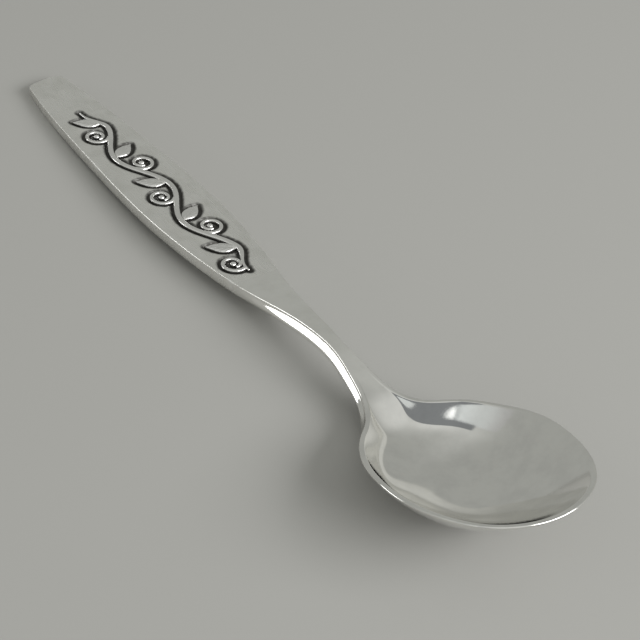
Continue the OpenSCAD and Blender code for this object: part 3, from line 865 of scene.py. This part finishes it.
# A soft room of light that grows brighter towards one side, by how far a direction points that way.
def makeWorld(look):
    world = bpy.data.worlds.new("studio")
    bpy.context.scene.world = world
    world.use_nodes = True
    tree = world.node_tree
    place = addNode(tree, "ShaderNodeTexCoord")
    facing = addNode(tree, "ShaderNodeVectorMath", {"operation": "DOT_PRODUCT"})
    facing.inputs[1].default_value = Vector(look["toward"]).normalized()
    tree.links.new(place.outputs["Generated"], facing.inputs[0])
    share = rangeNode(tree, facing.outputs["Value"], *look["spread"], 0, 1)
    color = mixColors(tree, share, look["dimSide"], look["brightSide"])
    tree.links.new(color, tree.nodes["Background"].inputs["Color"])


# Lamps and cards stand at a compass angle and a height angle, as seen from the spoon, and face it.
lamps = {
    "keyLamp": {"compass": 30, "height": 30, "distance": 0.8, "size": (0.7, 0.36), "radiance": 6.6},
    "windowLamp": {"compass": -132, "height": 6, "distance": 0.8, "size": (0.36, 0.25), "radiance": 3.4},
    "neckLamp": {"compass": -133, "height": 25, "distance": 0.8, "size": (0.3, 0.26), "radiance": 1.3,
                 "lights": (neckPiece, shoulderPiece)},
}
# Each card runs through its colours across its width, at shares of it.
cards = {
    "darkCard": {"compass": -66, "height": 37, "distance": 0.9, "size": (0.5, 0.27),
                 "colors": ((0, (0.22, 0.23, 0.235)), (1, (0.22, 0.23, 0.235)))},
    "brightCard": {"compass": -78, "height": 24, "distance": 0.8, "size": (0.8, 0.18),
                   "colors": ((0, (0.42, 0.42, 0.41)), (0.4, (0.56, 0.58, 0.57)), (0.67, (0.7, 0.73, 0.72)),
                              (0.74, (0.5, 0.52, 0.52)), (0.76, (1.4, 1.42, 1.4)), (0.85, (1.4, 1.42, 1.4)),
                              (0.88, (0.5, 0.52, 0.52)), (1, (0.4, 0.41, 0.41)))},
}


# The place and turn of a lamp or a card: out along its two angles by its distance, facing back.
def standAt(setting):
    az, el = math.radians(setting["compass"]), math.radians(setting["height"])
    toward = Vector((math.cos(el) * math.cos(az), math.cos(el) * math.sin(az), math.sin(el)))
    turn = toward.to_track_quat("Z", "Y").to_matrix().to_4x4()
    return Matrix.Translation(toward * setting["distance"]) @ turn


# An area lamp whose power is its radiance times pi times its area. It lights only some pieces where it
# names them.
def makeLamp(name, setting):
    lamp = bpy.data.lights.new(name, "AREA")
    lamp.shape = "RECTANGLE"
    lamp.size, lamp.size_y = setting["size"]
    lamp.energy = setting["radiance"] * math.pi * lamp.size * lamp.size_y
    holder = bpy.data.objects.new(name, lamp)
    holder.matrix_world = standAt(setting)
    holder.visible_camera = False
    bpy.context.scene.collection.objects.link(holder)
    if "lights" in setting:
        lit = bpy.data.collections.new(name + "Lit")
        for piece in setting["lights"]:
            lit.objects.link(piece)
        holder.light_linking.receiver_collection = lit


# A glowing card that shows only in reflections. Its colour turns from each stop to the next across it.
def makeCard(name, setting):
    x, y = setting["size"][0] / 2, setting["size"][1] / 2
    mesh = bpy.data.meshes.new(name)
    corners = [(-x, -y, 0), (x, -y, 0), (x, y, 0), (-x, y, 0)]
    mesh.from_pydata(corners, [], [(0, 1, 2, 3)])
    card = bpy.data.objects.new(name, mesh)
    card.matrix_world = standAt(setting)
    bpy.context.scene.collection.objects.link(card)
    material = bpy.data.materials.new(name + "Glow")
    material.use_nodes = True
    tree = material.node_tree
    tree.nodes.clear()
    across = addNode(tree, "ShaderNodeSeparateXYZ")
    tree.links.new(addNode(tree, "ShaderNodeTexCoord").outputs["Object"], across.inputs[0])
    glow = addNode(tree, "ShaderNodeEmission")
    colors = setting["colors"]
    color = colors[0][1]
    for (start, _), (end, following) in zip(colors, colors[1:]):
        share = rangeNode(tree, across.outputs["X"], x * (2 * start - 1), x * (2 * end - 1), 0, 1)
        color = mixColors(tree, share, color, following)
    tree.links.new(color, glow.inputs["Color"])
    tree.links.new(glow.outputs[0], addNode(tree, "ShaderNodeOutputMaterial").inputs["Surface"])
    mesh.materials.append(material)
    card.visible_camera = card.visible_diffuse = card.visible_shadow = False


makeFloor(studio)
makeWorld(studio)
for name, setting in lamps.items():
    makeLamp(name, setting)
for name, setting in cards.items():
    makeCard(name, setting)
print("studio made")

scene = bpy.context.scene
scene.view_settings.view_transform = "Standard"
